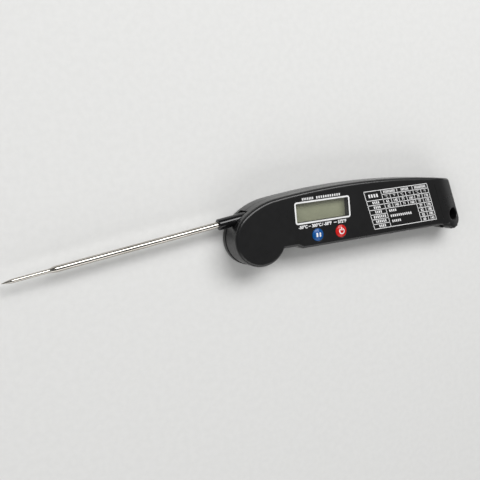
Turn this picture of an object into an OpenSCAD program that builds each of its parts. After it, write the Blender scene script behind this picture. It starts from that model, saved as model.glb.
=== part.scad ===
// Folding probe thermometer: a flat two-shell handle with a round head, in which a drum
// turns about an upright pin and carries a thin steel probe set tangent to the drum.
// The handle lies on its back. X runs from the hinge to the tail, Y to the arched top edge
// and Z out of the display face. The origin is on the hinge axis, in the plane of the back.

/* [Handle] */
// Thickness from the back to the display face
body_t = 17.2; // [16.8:0.1:18]
// Radius of the round head, about the hinge axis
head_r = 15.2; // [15.1:0.1:15.6]
// Height of the arched top edge above the hinge axis
top_y = 23.2; // [23:0.1:24]
// Radius of the arched top edge
top_r = 427; // [410:1:450]
// Where along X the top edge is highest
top_x = 61.9; // [58:0.1:66]
// Depth of the straight bottom edge below the hinge axis
bottom_y = 9.1; // [9:0.1:9.4]
// Rise of the shallow relief that clears the folded collar
notch_rise = 1.7; // [1.4:0.1:2]
// End of the collar relief along X
notch_x = 21.6; // [21:0.1:23]
// Wall thickness of the shells
wall = 1.8; // [1.6:0.1:2]
// Thickness of the display wall and of the back wall
face_wall = 2; // [1.8:0.1:2.2]
// Radius of the rounded edge round the display face
front_round = 1.8; // [1:0.1:2]
// Radius of the rounded edge round the back
rear_round = 1; // [0.6:0.1:1.4]

/* [Tail] */
// Where the sloping tail starts along X, level with the hinge
slope_x = 120; // [119:0.1:121]
// Lean of the slope line and of the tail edge from upright, in degrees
tail_lean = 15; // [14:0.1:16]
// Radius of the curved slope
slope_r = 35; // [32:0.5:40]
// Radius of the rounded tail corner
corner_r = 5; // [4.5:0.1:5.5]
// Hanging hole radius
hang_r = 3.6; // [3:0.1:3.8]

/* [Display and buttons] */
// Width of the display window
window_w = 33.5; // [32:0.1:34]
// Height of the display window
window_h = 10.5; // [10:0.1:11]
// Diameter of the two front buttons
button_d = 7; // [6.6:0.1:7.6]
// Travel of each button
button_travel = 0.4; // [0.3:0.05:0.4]

/* [Probe] */
// Distance from the hinge axis to the probe's axis
probe_offset = 11.95; // [11.8:0.05:12]
// Distance along the probe from the hinge to the tip
tip_end = 132.3; // [128:0.1:132.6]
// Diameter of the probe tube
tube_d = 3.2; // [3:0.1:3.3]
// Diameter of the thin tip tube
tip_d = 2.05; // [1.9:0.05:2.2]
// Length of the thin tip beyond the taper
tip_length = 22.3; // [20:0.1:26]
// Diameter of the collar
collar_d = 6.1; // [6:0.05:6.2]
// Distance from the hinge to the collar's free end
collar_end = 19.6; // [18:0.1:20]
// Direction that the probe points in at rest, in degrees from +X
rest_angle = 186.3; // [185:0.1:188]

/* [Hidden] */
$fn = 64;
eps = 0.01;
split_z = body_t / 2;
probe_z = split_z;

// Hinge stack, about the parting plane
chamber_low = split_z - 5.2;
chamber_high = split_z + 3.7;
chamber_t = chamber_high - chamber_low;
chamber_r = head_r + 0.3;
drum_gap = 0.15;
drum_r = head_r - 0.3;
drum_low = chamber_low + drum_gap;
drum_high = chamber_high - drum_gap;
drum_rim = 1.6;
drum_web = 1.2;
drum_bevel = 0.15;
pin_r = 2.48;
pin_socket = 2.5;
hub_r = 4.4;
hub_bore_r = 2.55;
washer_r = 5;
washer_t = 0.42;
washer_recess = 0.33;
leads_window_r = [5.6, 7.8];
saddle_y = probe_offset - collar_d / 2 - 1.5;

// Probe, as distances along its axis from the foot of the hinge axis
tube_r = tube_d / 2;
tip_r = tip_d / 2;
tube_bore_r = tube_r - 0.45;
tube_root_r = tube_r - 0.2;
taper_end = tip_end - tip_length;
taper_start = taper_end - 4;
point_length = 4;
collar_r = collar_d / 2 - 0.03;

// Handle outline
tail_c = [132.3, -6.6];
chin_c = [129.2, -9.3];
chin_r = 3.3;
chin_start = 125.4;
head_leave = 117;
hang_pos = [130.6, -3.7];
tip_slot_w = 3.5;
tip_slot_end = tip_end + 0.9;
arch_steps = 20;
edge_steps = 3;
slope_shift = 2;

// Electronics
board_z = 8;
board_t = 1;
board_top = board_z + board_t;
window_x = 21.8;
window_y = 5.2;
window_r = 0.6;
lens_t = 1.2;
lens_lip = 1.05;
border_w = 0.85;
print_t = 0.06;
skirt = 1.2;
lcd_top = 13;
lcd_t = 1.8;
lcd_size = [36.6, 14.2];
lcd_pos = [window_x + window_w / 2, window_y + window_h / 2];
hold_pos = [34.2, -2.6];
power_pos = [49.2, -2.6];
unit_pos = [44, 6];
unit_d = 4;
button_gap = 0.12;
flange_t = 0.8;
switch_gap = 0.45;
switch_t = 3.5;
unit_switch_t = 2.8;
plunger_t = 0.8;
screw_pos = [[21.6, -2.8], [62.5, 17.6], [70, -4.6], [112.5, 10.5]];
screw_r = 1;
boss_r = 2.6;

// Battery bay
cell_pos = [91, 6.4];
cell_r = 10;
cell_t = 3.2;
cell_z = 3.4;
door_r = 12.3;
door_hub_r = 10.5;
door_recess = 0.15;
lug_r = 11.9;
lug_low = face_wall + 0.1;
lug_t = 0.8;
lug_turn = 40;
ring_r = 13.6;

// Printed guide: rows and columns as fractions of its width
guide_at = [65.9, 16.9];
guide_w = 44.3;
guide_h = 21.8;
guide_rows = 8;
guide_first = 0.257;
guide_line = 0.4;

function arc(c, r, a0, a1, n) =
    [for (i = [0:n]) c + r * [cos(a0 + (a1 - a0) * i / n), sin(a0 + (a1 - a0) * i / n)]];

// Height of the arched top edge at x
function arch_y(x) = top_y - top_r + sqrt(top_r * top_r - (x - top_x) * (x - top_x));

// First point where the line p + t * d meets the arch, by five Newton steps from x
function on_arch(p, d, t = 0, n = 6) =
    n == 0 ? p + t * d
    : let (q = p + t * d, slope = -(q.x - top_x) / top_r)
      on_arch(p, d, t - (q.y - arch_y(q.x)) / (d.y - slope * d.x), n - 1);

// Corner at p between the directions to a and b, rounded to radius r
function corner(a, p, b, r, n) =
    let (u = (a - p) / norm(a - p), v = (b - p) / norm(b - p),
         half = acos(u * v) / 2,
         c = p + (u + v) / norm(u + v) * r / sin(half),
         p0 = p + u * r / tan(half) - c,
         a0 = atan2(p0.y, p0.x),
         turn = 180 - 2 * half)
    arc(c, r, a0, a0 + turn, n);

head_tangent = head_r * [cos(head_leave), sin(head_leave)];
head_dir = [sin(head_leave), -cos(head_leave)];
brow = on_arch(head_tangent, head_dir, 12);
tail_dir = [-sin(tail_lean), cos(tail_lean)];
tail_tangent = tail_c + corner_r * [cos(tail_lean), sin(tail_lean)];
tail_top = on_arch(tail_tangent, tail_dir, 22);
chin_to_tail = tail_c - chin_c;
chin_tangent = atan2(chin_to_tail.y, chin_to_tail.x)
    - acos((chin_r - corner_r) / norm(chin_to_tail));
notch_y = bottom_y - notch_rise;
junction_a = -asin(notch_y / head_r);

handle_outline = concat(
    [[notch_x, -notch_y], [notch_x + 2 * notch_rise, -bottom_y], [chin_start, -bottom_y]],
    arc(chin_c, chin_r, -172, chin_tangent, 8),
    arc(tail_c, corner_r, chin_tangent, tail_lean, 12),
    corner(tail_tangent, tail_top, [tail_top.x - 6, arch_y(tail_top.x - 6)], 2.6, 4),
    [for (i = [1:arch_steps - 1])
        let (x = tail_top.x + (brow.x - tail_top.x) * i / arch_steps) [x, arch_y(x)]],
    corner([brow.x + 6, arch_y(brow.x + 6)], brow, head_tangent, 14, 4),
    arc([0, 0], head_r, head_leave, 360 + junction_a, 40));

// The outline moved in by d, one point for each of its own, at height z
function inset_ring(d, z) =
    [for (n = len(handle_outline), i = [0:n - 1])
        let (p = handle_outline[i],
             a = p - handle_outline[(i + n - 1) % n], b = handle_outline[(i + 1) % n] - p,
             na = [-a.y, a.x] / norm(a), nb = [-b.y, b.x] / norm(b),
             q = p + (na + nb) * d / (1 + na * nb))
        [q.x, q.y, z]];

// Profile of what rounding takes off an upright edge, as [inset, height from the flat face].
// It is a closed loop whose flats run on a little past both faces.
function round_profile(r) =
    let (at = [for (i = [0:edge_steps]) let (a = 90 * i / edge_steps)
             r * [1 - cos(a), sin(a) - 1]],
         low = at[0] - 0.3 / (at[1].x - at[0].x) * (at[1] - at[0]),
         high = at[edge_steps] + 0.2 * (at[edge_steps] - at[edge_steps - 1]))
    concat([low], [for (i = [1:edge_steps - 1]) at[i]], [high, [high.x, 1], [low.x, 1]]);

// A ring-shaped cutter along the whole outline; up is 1 for the top face, -1 for the back
module edge_cutter(r, face_z, up) {
    profile = round_profile(r);
    m = len(profile);
    n = len(handle_outline);
    rings = [for (p = profile) inset_ring(p.x, face_z + up * p.y)];
    quads = [for (k = [0:m - 1], i = [0:n - 1])
        let (j = (i + 1) % n, l = (k + 1) % m) [k * n + i, k * n + j, l * n + j, l * n + i]];
    polyhedron([for (ring = rings, p = ring) p],
        up > 0 ? quads : [for (q = quads) [q[3], q[2], q[1], q[0]]], convexity = 8);
}

module front_block() {
    difference() {
        translate([0, 0, split_z]) linear_extrude(body_t - split_z) outline();
        edge_cutter(front_round, body_t, 1);
    }
}

module rear_block() {
    difference() {
        linear_extrude(split_z) outline();
        edge_cutter(rear_round, 0, -1);
    }
}

module outline(inset = 0) {
    offset(delta = -inset) polygon(handle_outline);
}

module rounded(w, h, r) {
    hull()
        for (x = [-1, 1], y = [-1, 1])
            translate([x * (w / 2 - r), y * (h / 2 - r)]) circle(r, $fn = 24);
}

// Turns children so that local X runs along the slope's cross direction
module at_slope(x = 0) {
    translate([slope_x, 0, 0]) rotate([0, 0, tail_lean]) translate([x, 0, 0]) children();
}

module left_of_slope(x) {
    at_slope(x) translate([-200, -50]) square([200, 100]);
}

module electronics_area(inset) {
    difference() {
        intersection() {
            outline(inset);
            left_of_slope(-3);
        }
        circle(chamber_r + 1.6);
    }
}

module tail_area() {
    difference() {
        outline(wall + 0.4);
        left_of_slope(-1);
        translate(hang_pos) circle(hang_r + 1.6);
        translate([0, -50]) square([200, 50 - bottom_y + 3.4]);
    }
}

module hinge_space() {
    translate([0, 0, chamber_low]) cylinder(r = chamber_r, h = chamber_t, $fn = 128);
    translate([0, 0, chamber_low - pin_socket])
        cylinder(r = pin_r + 0.01, h = chamber_t + 2 * pin_socket);
}

module tail_cuts() {
    translate([hang_pos.x, hang_pos.y, -1]) cylinder(r = hang_r, h = body_t + 2);
    translate([100, -20, split_z - tip_slot_w / 2])
        cube([tip_slot_end - 100, 20 - bottom_y - 0.2, tip_slot_w]);
}

module slope_cut() {
    axis_drop = sqrt(slope_r * slope_r - slope_shift * slope_shift);
    at_slope() difference() {
        translate([-1, -40, split_z]) cube([50, 80, body_t]);
        translate([-slope_shift, 0, body_t - axis_drop]) rotate([90, 0, 0])
            cylinder(r = slope_r, h = 100, center = true, $fn = 180);
    }
    at_slope() translate([-0.2, -5.6, body_t - 0.25]) cube([0.4, 22.2, 1]);
}

module front_shell() {
    color("#26272a") difference() {
        union() {
            difference() {
                front_block();
                translate([0, 0, split_z - eps])
                    linear_extrude(body_t - face_wall - split_z + eps) electronics_area(wall);
                translate([0, 0, split_z - eps]) linear_extrude(2 + eps) tail_area();
            }
            translate([lcd_pos.x, lcd_pos.y, lcd_top + 0.05])
                linear_extrude(body_t - face_wall - lcd_top)
                rounded(window_w + 2 * skirt, window_h + 2 * skirt, window_r);
            for (p = screw_pos)
                translate([p.x, p.y, split_z]) cylinder(r = boss_r, h = body_t - 1 - split_z);
        }
        translate([lcd_pos.x, lcd_pos.y, lcd_top - 1]) linear_extrude(10)
            rounded(window_w, window_h, window_r);
        translate([lcd_pos.x, lcd_pos.y, body_t - lens_t]) linear_extrude(lens_t + 1)
            rounded(window_w + 2 * lens_lip, window_h + 2 * lens_lip, window_r + 1);
        for (p = [hold_pos, power_pos])
            translate([p.x, p.y, split_z]) cylinder(r = button_d / 2 + button_gap, h = body_t);
        for (p = screw_pos)
            translate([p.x, p.y, split_z - 1]) cylinder(r = screw_r + 0.02, h = 6);
        hinge_space();
        translate([0, 5.5, chamber_high - eps]) cube([18, 2.4, 1.3]);
        translate([0, 6.7, chamber_high - eps]) cylinder(r = 1.2, h = 1.3);
        tail_cuts();
        slope_cut();
    }
}

module rear_shell() {
    color("#232427") difference() {
        union() {
            difference() {
                rear_block();
                translate([0, 0, face_wall]) linear_extrude(split_z) electronics_area(wall);
                translate([0, 0, face_wall]) linear_extrude(split_z) tail_area();
            }
            for (p = screw_pos) translate([p.x, p.y, 1]) cylinder(r = boss_r, h = board_z - 1.1);
            translate([cell_pos.x, cell_pos.y, 1]) cylinder(r = ring_r, h = board_z - 1.3);
            translate([unit_pos.x, unit_pos.y, 1]) cylinder(r = unit_d / 2 + 1.4, h = 1.6);
        }
        for (p = screw_pos) {
            translate([p.x, p.y, -1]) cylinder(r = screw_r + 0.15, h = 20);
            translate([p.x, p.y, -1]) cylinder(r = 2.2, h = 3.2);
        }
        translate([cell_pos.x, cell_pos.y, 0]) {
            translate([0, 0, -1]) cylinder(r = door_r + 0.15, h = 1 + 1.2);
            translate([0, 0, -1]) cylinder(r = door_hub_r + 0.1, h = 20);
            translate([0, 0, face_wall]) cylinder(r = lug_r + 0.4, h = 1.3);
            for (a = [0, 120, 240])
                rotate([0, 0, a - lug_turn]) translate([0, -2.6, -1])
                    cube([lug_r + 0.3, 5.2, 1 + face_wall + eps]);
            translate([-cell_r - 1.6, -3, face_wall + 1]) cube([2, 6, 20]);
        }
        translate([unit_pos.x, unit_pos.y, -1]) cylinder(r = unit_d / 2 + button_gap, h = 20);
        hinge_space();
        tail_cuts();
    }
}

module display_lens() {
    color([0.8, 0.85, 0.85, 0.35])
        translate([lcd_pos.x, lcd_pos.y, body_t - lens_t + 0.02]) linear_extrude(lens_t - 0.05)
        rounded(window_w + 2 * lens_lip - 0.1, window_h + 2 * lens_lip - 0.1, window_r + 0.95);
}

module display_border() {
    color("white") translate([lcd_pos.x, lcd_pos.y, body_t - 0.03])
        linear_extrude(print_t) difference() {
            rounded(window_w + 2 * border_w, window_h + 2 * border_w, window_r + border_w);
            rounded(window_w, window_h, window_r);
        }
}

// One line of the guide, from u0 to u1 across and v0 to v1 down, as fractions of its size
module guide_bar(u0, v0, u1, v1) {
    lean = tan(tail_lean);
    half = guide_line / 2;
    across = (v0 == v1) ? [0, half] : [half, 0];
    function at(u, v) = guide_at + [u * guide_w + v * guide_h * lean, -v * guide_h];
    polygon([at(u0, v0) - across, at(u1, v1) - across, at(u1, v1) + across, at(u0, v0) + across]);
}

module face_print() {
    sub = (1 - guide_first) / 6;
    color("white") translate([0, 0, body_t]) linear_extrude(print_t) {
        guide_bar(-0.004, 0, 1.004, 0);
        guide_bar(-0.004, 1, 1.004, 1);
        guide_bar(0, 0, 0, 1);
        guide_bar(1, 0, 1, 1);
        guide_bar(guide_first, 0, guide_first, 1);
        guide_bar(guide_first, 1 / guide_rows, 1, 1 / guide_rows);
        for (i = [2:4]) guide_bar(0, i / guide_rows, 1, i / guide_rows);
        for (i = [5:7]) {
            guide_bar(0, i / guide_rows, guide_first, i / guide_rows);
            guide_bar(1 - 2 * sub, i / guide_rows, 1, i / guide_rows);
        }
        for (i = [1:3])
            guide_bar(guide_first + i * sub, (i == 2 ? 0 : 1) / guide_rows,
                guide_first + i * sub, 4 / guide_rows);
        guide_bar(1 - 2 * sub, 0, 1 - 2 * sub, 1);
        guide_bar(1 - sub, 1 / guide_rows, 1 - sub, 1);
    }
}

module lcd_panel() {
    color("#8f9480") translate([lcd_pos.x, lcd_pos.y, lcd_top - lcd_t / 2])
        cube([lcd_size.x, lcd_size.y, lcd_t], center = true);
}

module lcd_reflector() {
    color("silver") translate([lcd_pos.x, lcd_pos.y, lcd_top - lcd_t - 0.2])
        cube([lcd_size.x, lcd_size.y, 0.3], center = true);
}

module lcd_holder() {
    low = board_top + 0.02;
    sheet_low = lcd_top - lcd_t - 0.4;
    color("#1b1b1d") translate([lcd_pos.x, lcd_pos.y, 0]) difference() {
        translate([-19.8, -8, low]) cube([39.6, 16, lcd_top - low]);
        translate([-lcd_size.x / 2 - 0.1, -lcd_size.y / 2 - 0.1, sheet_low])
            cube([lcd_size.x + 0.2, lcd_size.y + 0.2, 5]);
        for (y = [-6.2, 4.4]) translate([-17.2, y, low - 1]) cube([34.4, 1.8, 4]);
        translate([-15, -3.6, low - 1]) cube([30, 7.2, 1.6]);
    }
}

module contact_strips() {
    low = board_top + 0.04;
    color("#3a3a55") for (y = [-6.1, 4.5])
        translate([lcd_pos.x - 17, lcd_pos.y + y, low])
            cube([34, 1.6, lcd_top - lcd_t - 0.42 - low]);
}

module circuit_board() {
    color("#1f6b3a") translate([0, 0, board_z]) linear_extrude(board_t) difference() {
        intersection() {
            electronics_area(wall + 0.5);
            translate([0, -50]) square([106, 100]);
        }
        circle(chamber_r + 2);
        for (p = screw_pos) translate(p) circle(boss_r + 0.3);
    }
}

module controller_blob() {
    color("#101012") translate([66, 7.5, board_top]) difference() {
        translate([0, 0, -3.2]) sphere(r = 5);
        translate([-10, -10, -12]) cube([20, 20, 12 + 0.01]);
    }
}

module board_components() {
    color("#c8b48a") {
        for (i = [0:3])
            translate([74 + i * 3.2, 14, board_top + 0.01]) cube([1.6, 0.8, 0.6]);
        for (i = [0:2])
            translate([74 + i * 3.2, -3, board_top + 0.01]) cube([2, 1.25, 0.8]);
        translate([60.5, -2.6, board_top + 0.01]) cube([3.2, 1.6, 1.2]);
    }
    color("silver") translate([72, 4, board_top + 1.05]) rotate([0, 90, 0])
        cylinder(r = 1, h = 6);
}

module tact_switches() {
    color("#4a4c50") {
        for (p = [hold_pos, power_pos]) {
            top = body_t - face_wall - 0.1 - flange_t - 0.4 - switch_gap;
            translate([p.x - 3, p.y - 3, board_top + 0.01])
                cube([6, 6, top - plunger_t - board_top]);
            translate([p.x, p.y, top - plunger_t]) cylinder(r = 1.6, h = plunger_t);
        }
        translate([unit_pos.x - 3, unit_pos.y - 3, board_z - unit_switch_t])
            cube([6, 6, unit_switch_t - 0.01]);
        translate([unit_pos.x, unit_pos.y, board_z - unit_switch_t - plunger_t])
            cylinder(r = 1.5, h = plunger_t + eps);
    }
}

module board_leads() {
    for (k = [0, 1]) color(k == 0 ? "#b03028" : "#222222") {
        y = 6.2 + k;
        translate([1, y, chamber_high - 1.8]) cylinder(r = 0.35, h = 2.4);
        translate([0.7, y, chamber_high + 0.6]) rotate([0, 90, 0]) cylinder(r = 0.35, h = 16.7);
        translate([17.4, y, board_top + 0.01])
            cylinder(r = 0.35, h = chamber_high + 0.95 - board_top);
    }
}

module battery_cell() {
    color("#c9ccd0") translate([cell_pos.x, cell_pos.y, cell_z]) {
        cylinder(r = cell_r, h = cell_t - 0.5);
        translate([0, 0, cell_t - 0.5 - eps]) cylinder(r = cell_r - 1.2, h = 0.5);
    }
}

module contact_positive() {
    color("#d8c37a") translate([cell_pos.x - cell_r, cell_pos.y, 0]) {
        translate([-0.45, -2, cell_z]) cube([0.3, 4, board_z - cell_z - 0.01]);
        translate([-0.45, -2, board_z - 0.32]) cube([3, 4, 0.3]);
    }
}

module contact_negative() {
    color("#d8c37a") translate([cell_pos.x, cell_pos.y, 0]) {
        translate([-4, -2.5, board_z - 0.32]) cube([8, 5, 0.3]);
        for (s = [-1, 1]) translate([s * 3 - 0.5, -1, cell_z + cell_t + 0.05])
            cube([1, 2, board_z - cell_z - cell_t - 0.3]);
    }
}

module case_screws() {
    color("#9a9da1") for (p = screw_pos) translate([p.x, p.y, 0]) difference() {
        union() {
            translate([0, 0, 1]) cylinder(r = 2, h = 1.15);
            translate([0, 0, 2]) cylinder(r = screw_r, h = 10.5);
        }
        for (a = [0, 90]) rotate([0, 0, a]) translate([-1.3, -0.25, 0]) cube([2.6, 0.5, 1.6]);
    }
}

module hinge_pin() {
    color("#b8bbc0") translate([0, 0, chamber_low - pin_socket + 0.02])
        cylinder(r = pin_r, h = chamber_t + 2 * pin_socket - 0.04);
}

module washer() {
    difference() {
        cylinder(r = washer_r - 0.2, h = washer_t);
        translate([0, 0, -1]) cylinder(r = pin_r + 0.03, h = 3);
    }
}

module friction_washer() {
    color("#a8abb0") translate([0, 0, chamber_low + 0.01]) washer();
}

module thrust_washer() {
    color("#e8e6df") translate([0, 0, chamber_high - washer_t - 0.01]) washer();
}

// A segment of the door's lug, from the hub out to the lug radius
module lug() {
    intersection() {
        difference() {
            cylinder(r = lug_r, h = lug_t);
            translate([0, 0, -1]) cylinder(r = door_hub_r - 1, h = 3);
        }
        translate([0, -2.1, -1]) cube([lug_r + 1, 4.2, 3]);
    }
}

module battery_door() {
    color("#2b2c2f") translate([cell_pos.x, cell_pos.y, 0]) difference() {
        union() {
            translate([0, 0, door_recess]) cylinder(r = door_r, h = 0.9);
            translate([0, 0, door_recess + 0.8]) cylinder(r = door_hub_r,
                h = lug_low + lug_t - door_recess - 0.8);
            for (a = [0, 120, 240]) rotate([0, 0, a]) translate([0, 0, lug_low]) lug();
        }
        translate([-7, -1, -1]) cube([14, 2, 1 + door_recess + 0.6]);
        translate([0, 0, 1.3]) difference() {
            cylinder(r = door_hub_r + 1, h = 0.7);
            translate([0, 0, -1]) cylinder(r = door_hub_r - 0.6, h = 3);
        }
    }
}

module door_oring() {
    color("#141416") translate([cell_pos.x, cell_pos.y, 1.65])
        rotate_extrude() translate([door_hub_r - 0.27, 0]) circle(0.33, $fn = 24);
}

module front_button(p) {
    flange_top = body_t - face_wall - 0.1;
    dome = 1;
    dome_r = ((button_d / 2) ^ 2 + dome ^ 2) / (2 * dome);
    translate([p.x, p.y, 0]) {
        translate([0, 0, flange_top - flange_t]) cylinder(r = button_d / 2 + 0.8, h = flange_t);
        translate([0, 0, flange_top - 0.1]) cylinder(r = button_d / 2, h = body_t - flange_top + 0.1);
        translate([0, 0, flange_top - flange_t - 0.4]) cylinder(r = 1.8, h = 0.5);
        intersection() {
            translate([0, 0, body_t + dome - dome_r]) sphere(r = dome_r, $fn = 96);
            translate([0, 0, body_t - eps]) cylinder(r = button_d / 2, h = 3);
        }
    }
}

module hold_button() {
    color("#0f55a5") front_button(hold_pos);
}

module power_button() {
    color("#e2171f") front_button(power_pos);
}

module unit_button() {
    flange_low = 2.8;
    stem_top = board_z - unit_switch_t - plunger_t - switch_gap;
    color("#3a3b3f") translate([unit_pos.x, unit_pos.y, 0]) {
        translate([0, 0, 0.3]) cylinder(r = unit_d / 2, h = flange_low - 0.2);
        translate([0, 0, flange_low]) cylinder(r = unit_d / 2 + 0.9, h = flange_t - 0.1);
        translate([0, 0, flange_low]) cylinder(r = 1.3, h = stem_top - flange_low);
    }
}

module in_probe_frame() {
    rotate([0, 0, rest_angle]) children();
}

// Local X along the probe from the foot of the hinge axis, on the probe's own axis
module on_probe_axis(t = 0) {
    in_probe_frame() translate([t, -probe_offset, probe_z]) rotate([0, 90, 0]) children();
}

rotor_screw_pos = [for (a = [20, 75, 130]) 10 * [cos(a), sin(a)]];

// One half of the drum, from z_low to z_high, with its web on the low or high side
module rotor_half(z_low, z_high, web_low) {
    web_z = web_low ? z_low : z_high - drum_web;
    recess_z = web_low ? z_low : z_high - washer_recess;
    difference() {
        in_probe_frame() union() {
            difference() {
                union() {
                    translate([0, 0, web_low ? z_low + drum_bevel : z_low])
                        cylinder(r = drum_r, h = z_high - z_low - drum_bevel, $fn = 128);
                    translate([0, 0, web_low ? z_low : z_high - drum_bevel])
                        cylinder(r1 = drum_r - (web_low ? drum_bevel : 0),
                            r2 = drum_r - (web_low ? 0 : drum_bevel), h = drum_bevel, $fn = 128);
                }
                translate([0, 0, z_low - 1])
                    cylinder(r = drum_r - drum_rim, h = z_high - z_low + 2, $fn = 128);
            }
            translate([0, 0, web_z]) cylinder(r = drum_r - drum_rim + 0.1, h = drum_web);
            translate([0, 0, z_low]) cylinder(r = hub_r, h = z_high - z_low);
            intersection() {
                translate([0, 0, z_low]) cylinder(r = drum_r - 0.5, h = z_high - z_low);
                translate([-3, -drum_r - 1, z_low])
                    cube([drum_r + 3, drum_r + 1 - saddle_y, z_high - z_low]);
            }
            for (p = rotor_screw_pos)
                translate([p.x, p.y, z_low]) cylinder(r = 1.9, h = z_high - z_low);
        }
        cylinder(r = hub_bore_r, h = body_t);
        translate([0, 0, recess_z - (web_low ? 1 : 0)])
            cylinder(r = washer_r, h = washer_recess + 1);
        on_probe_axis() cylinder(r = collar_r + 0.01, h = 40);
        on_probe_axis(-5) cylinder(r = 1, h = 6);
        in_probe_frame() for (p = rotor_screw_pos)
            translate([p.x, p.y, z_low - 1]) {
                cylinder(r = web_low ? 0.9 : 0.82, h = web_low ? 20 : 3.2);
                if (web_low) cylinder(r = 1.6, h = 1.9);
            }
        if (!web_low)
            in_probe_frame() rotate([0, 0, 70]) rotate_extrude(angle = 205)
                translate([leads_window_r[0], web_z - 0.5])
                square([leads_window_r[1] - leads_window_r[0], 5]);
    }
}

module rotor_front() {
    color("#1d1e20") rotor_half(split_z, drum_high, false);
}

module rotor_rear() {
    color("#1d1e20") rotor_half(drum_low, split_z, true);
}

module rotor_screws() {
    color("#9a9da1") in_probe_frame() for (p = rotor_screw_pos)
        translate([p.x, p.y, 0]) {
            translate([0, 0, drum_low + 0.15]) cylinder(r = 1.5, h = 0.75);
            translate([0, 0, drum_low + 0.85])
                cylinder(r = 0.8, h = split_z + 1.05 - drum_low);
        }
}

// The reserve of lead wire, wound loosely round the hub
module lead_coil() {
    color("#b03028") for (i = [0:3])
        translate([0, 0, split_z - 1.2 + i * 0.8])
            rotate_extrude() translate([5.1 + 0.01 * i, 0]) circle(0.36, $fn = 16);
}

module probe_collar() {
    color("#0c0c0d") on_probe_axis() rotate_extrude() polygon([
        [tube_root_r + 0.01, 0.4], [collar_r, 0.4], [collar_r, collar_end - 0.35],
        [collar_r - 0.35, collar_end], [tube_root_r + 0.01, collar_end]]);
}

module probe_tube() {
    color("#c6c2b8") on_probe_axis() rotate_extrude() polygon([
        [tube_bore_r, 1], [tube_root_r, 1], [tube_root_r, collar_end + 0.02],
        [tube_r, collar_end + 0.02], [tube_r, taper_start],
        [tip_r + 0.25, taper_end - 0.6], [tip_r + 0.08, taper_end],
        [tip_r + 0.01, taper_end], [tip_r + 0.01, taper_start + 1], [tube_bore_r, taper_start - 1]]);
}

module probe_tip() {
    bore = tip_r - 0.3;
    color("#c6c2b8") on_probe_axis() rotate_extrude() polygon([
        [bore, taper_start + 1.4], [tip_r, taper_start + 1.4], [tip_r, tip_end - point_length],
        [0.15, tip_end], [0, tip_end], [0, tip_end - point_length], [bore, tip_end - point_length - 1]]);
}

module thermistor() {
    color("#2a211c") on_probe_axis(tip_end - point_length - 4) cylinder(r = tip_r - 0.36, h = 2.5);
}

module sensor_leads() {
    color("#b03028") for (s = [-1, 1])
        in_probe_frame() translate([-4, -probe_offset + s * 0.32, probe_z]) rotate([0, 90, 0])
            cylinder(r = 0.26, h = tip_end - point_length - 0.2, $fn = 16);
}

front_shell();
rear_shell();
display_lens();
display_border();
face_print();
lcd_panel();
lcd_reflector();
lcd_holder();
contact_strips();
circuit_board();
controller_blob();
board_components();
tact_switches();
board_leads();
battery_cell();
contact_positive();
contact_negative();
case_screws();
hinge_pin();
friction_washer();
thrust_washer();
battery_door();
door_oring();
hold_button();
power_button();
unit_button();
rotor_front();
rotor_rear();
rotor_screws();
lead_coil();
probe_collar();
probe_tube();
probe_tip();
thermistor();
sensor_leads();
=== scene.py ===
import bpy
import bmesh
import math
from mathutils import Matrix, Vector


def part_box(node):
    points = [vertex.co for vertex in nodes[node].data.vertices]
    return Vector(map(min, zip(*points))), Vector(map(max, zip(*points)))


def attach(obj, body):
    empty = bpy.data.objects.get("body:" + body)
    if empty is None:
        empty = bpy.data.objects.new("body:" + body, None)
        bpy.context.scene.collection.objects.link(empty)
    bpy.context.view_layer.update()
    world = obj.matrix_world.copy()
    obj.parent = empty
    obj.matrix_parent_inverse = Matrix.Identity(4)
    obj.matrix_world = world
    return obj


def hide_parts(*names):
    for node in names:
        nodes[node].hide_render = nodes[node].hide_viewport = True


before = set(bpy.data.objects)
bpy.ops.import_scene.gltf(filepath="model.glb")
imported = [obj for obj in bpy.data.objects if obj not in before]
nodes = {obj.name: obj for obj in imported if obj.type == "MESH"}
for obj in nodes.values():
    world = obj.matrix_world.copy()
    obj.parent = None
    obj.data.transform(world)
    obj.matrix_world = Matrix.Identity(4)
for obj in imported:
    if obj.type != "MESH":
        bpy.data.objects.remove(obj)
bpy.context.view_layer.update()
MM = 0.001


def mm_box(node):
    lo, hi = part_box(node)
    return [v / MM for v in lo], [v / MM for v in hi]


# ---- sizes, in millimetres, read from the frame where it holds them
front_lo, front_hi = mm_box("front_shell")
FACE_Z = front_hi[2]
SPLIT_Z = mm_box("rear_shell")[1][2]
TOP_Y = front_hi[1]

# the head, its drum chamber, the pin that the drum turns on, and the angle in degrees
# at which the chamber's opening in the rim ends
HEAD_R = -front_lo[0]
CHAMBER_R = HEAD_R + 0.3
CHAMBER_LOW, CHAMBER_HIGH = SPLIT_Z - 5.2, SPLIT_Z + 3.7
PIN_R, PIN_SOCKET = 2.48, 2.5
SLOT_END = 106.5
SHOULDER_R = 40.0

# the outline: arched top edge, straight bottom edge, notch by the head, chin and tail,
# then the rounding of the front and back edges and the bevel along the parting line
TOP_X, TOP_R = 61.9, 427.0
BOTTOM_Y, NOTCH_Y = -9.1, -7.4
NOTCH_END, RAMP_END = 21.6, 25.0
CHIN_C, CHIN_R = (129.2, -9.3), 3.3
TAIL_C, TAIL_R, LEAN = (132.3, -6.6), 5.0, 15.0
FRONT_ROUND, REAR_ROUND = 1.8, 1.0
SEAM = 0.16

# the slope and groove at the tail, and the hanging hole
SLOPE_X, SLOPE_R, SLOPE_SHIFT = 120.0, 35.0, 2.0
GROOVE_R, GROOVE_LENGTH, GROOVE_BELOW = 0.32, 21.8, 5.4
HANG, HANG_R = (130.6, -3.7), 3.6

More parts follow.
